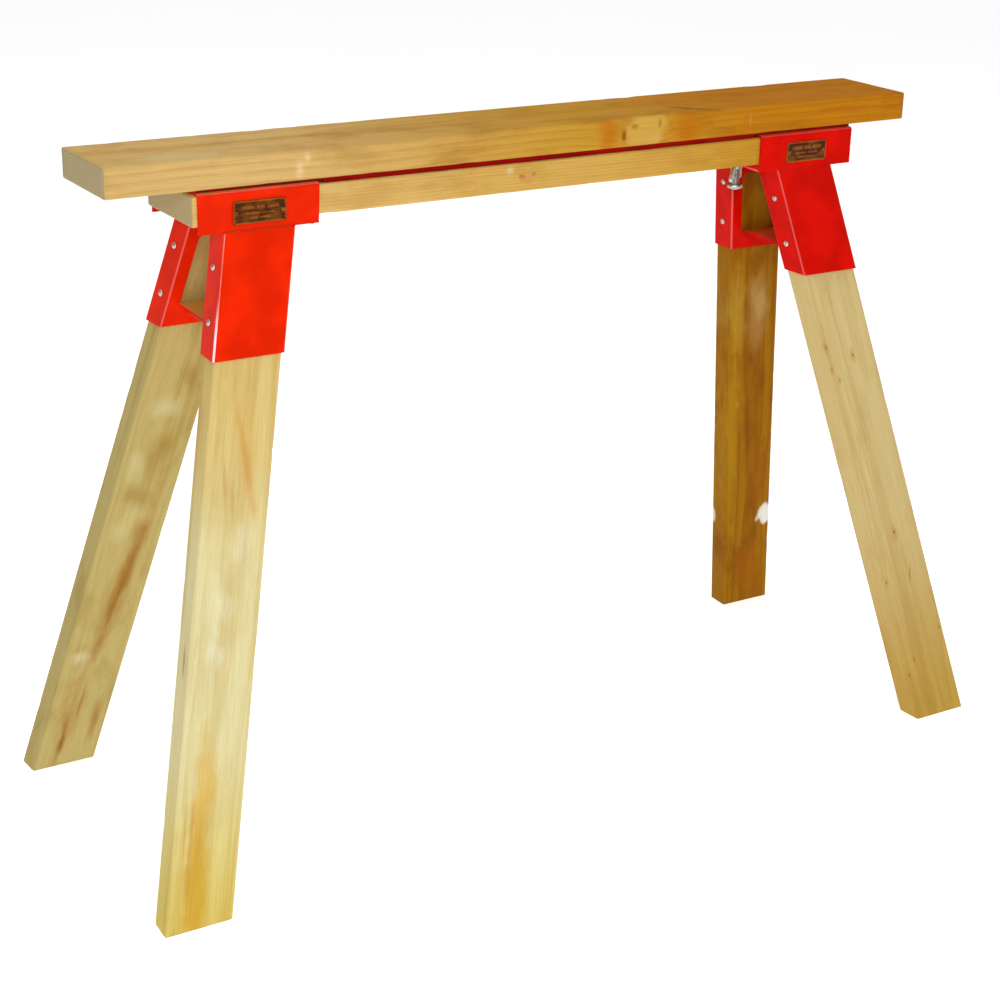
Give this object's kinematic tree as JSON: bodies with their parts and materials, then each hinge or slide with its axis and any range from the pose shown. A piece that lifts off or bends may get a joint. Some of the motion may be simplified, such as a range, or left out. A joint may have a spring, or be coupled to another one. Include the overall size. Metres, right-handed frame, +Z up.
{
  "type": "folding sawhorse",
  "caption": "Wooden sawhorse: flat plank over a rail, held by sheet-steel saddles on splayed legs that fold in under the beam.",
  "frame": {"origin": "on the floor, under the middle of the beam", "axes": "+X along the beam, -Y the front with the nameplates, +Z up"},
  "size_m": [1.3158, 0.5264, 0.917],
  "materials": {
    "timber": "dressed softwood, unfinished, weathered",
    "red_enamel": "glossy red enamel",
    "zinc": "bright zinc plate",
    "brass": "dull brass"
  },
  "bodies": {
    "beam": {"hanger_bolt_left": "zinc", "hanger_bolt_right": "zinc", "hinge_pin_back_left": "zinc", "hinge_pin_back_right": "zinc", "hinge_pin_front_left": "zinc", "hinge_pin_front_right": "zinc", "leaf_screw_back_left": "zinc", "leaf_screw_back_right": "zinc", "leaf_screw_front_left": "zinc", "leaf_screw_front_right": "zinc", "nameplate_left": "brass", "nameplate_pin_left_1": "brass", "nameplate_pin_left_2": "brass", "nameplate_pin_right_1": "brass", "nameplate_pin_right_2": "brass", "nameplate_right": "brass", "rail": "timber", "rail_leaf_left": "red_enamel", "rail_leaf_right": "red_enamel", "saddle_left": "red_enamel", "saddle_right": "red_enamel", "spine_channel": "red_enamel", "stop_nut_left": "zinc", "stop_nut_right": "zinc", "top_plank": "timber"},
    "legs_left": {"leg_back_left": "timber", "leg_front_left": "timber", "leg_leaf_left": "red_enamel", "leg_screw_back_left_1": "zinc", "leg_screw_back_left_2": "zinc", "leg_screw_back_left_3": "zinc", "leg_screw_back_left_4": "zinc", "leg_screw_front_left_1": "zinc", "leg_screw_front_left_2": "zinc", "leg_screw_front_left_3": "zinc", "leg_screw_front_left_4": "zinc", "socket_back_left": "red_enamel", "socket_front_left": "red_enamel", "tie_rivet_left": "zinc"},
    "legs_right": {"leg_back_right": "timber", "leg_front_right": "timber", "leg_leaf_right": "red_enamel", "leg_screw_back_right_1": "zinc", "leg_screw_back_right_2": "zinc", "leg_screw_back_right_3": "zinc", "leg_screw_back_right_4": "zinc", "leg_screw_front_right_1": "zinc", "leg_screw_front_right_2": "zinc", "leg_screw_front_right_3": "zinc", "leg_screw_front_right_4": "zinc", "socket_back_right": "red_enamel", "socket_front_right": "red_enamel", "tie_rivet_right": "zinc"},
    "washer_left": {"washer_left": "zinc"},
    "washer_right": {"washer_right": "zinc"},
    "wing_nut_left": {"wing_nut_left": "zinc"},
    "wing_nut_right": {"wing_nut_right": "zinc"}
  },
  "joints": [
    {"name": "fold_left", "type": "hinge", "parent": "beam", "child": "legs_left", "pos_m": [-0.349, 0, 0.8285], "axis": [0, -1, 0], "range_deg": [0, 103]},
    {"name": "washer_slide_left", "type": "slide", "parent": "beam", "child": "washer_left", "axis": [0, 0, -1], "range_m": [0, 0.00525]},
    {"name": "wing_nut_turn_left", "type": "hinge", "parent": "washer_left", "child": "wing_nut_left", "pos_m": [-0.357, 0, 0.8284], "axis": [0, 0, -1], "range_deg": [-1080, 0]},
    {"name": "fold_right", "type": "hinge", "parent": "beam", "child": "legs_right", "pos_m": [0.349, 0, 0.8285], "axis": [0, 1, 0], "range_deg": [0, 84]},
    {"name": "washer_slide_right", "type": "slide", "parent": "beam", "child": "washer_right", "axis": [0, 0, -1], "range_m": [0, 0.00525]},
    {"name": "wing_nut_turn_right", "type": "hinge", "parent": "washer_right", "child": "wing_nut_right", "pos_m": [0.357, 0, 0.8284], "axis": [0, 0, -1], "range_deg": [-1080, 0]}
  ],
  "couplings": [
    {"joint": "washer_slide_left", "follows": "wing_nut_turn_left", "m_per_rad": -0.00027852},
    {"joint": "washer_slide_right", "follows": "wing_nut_turn_right", "m_per_rad": -0.00027852}
  ]
}
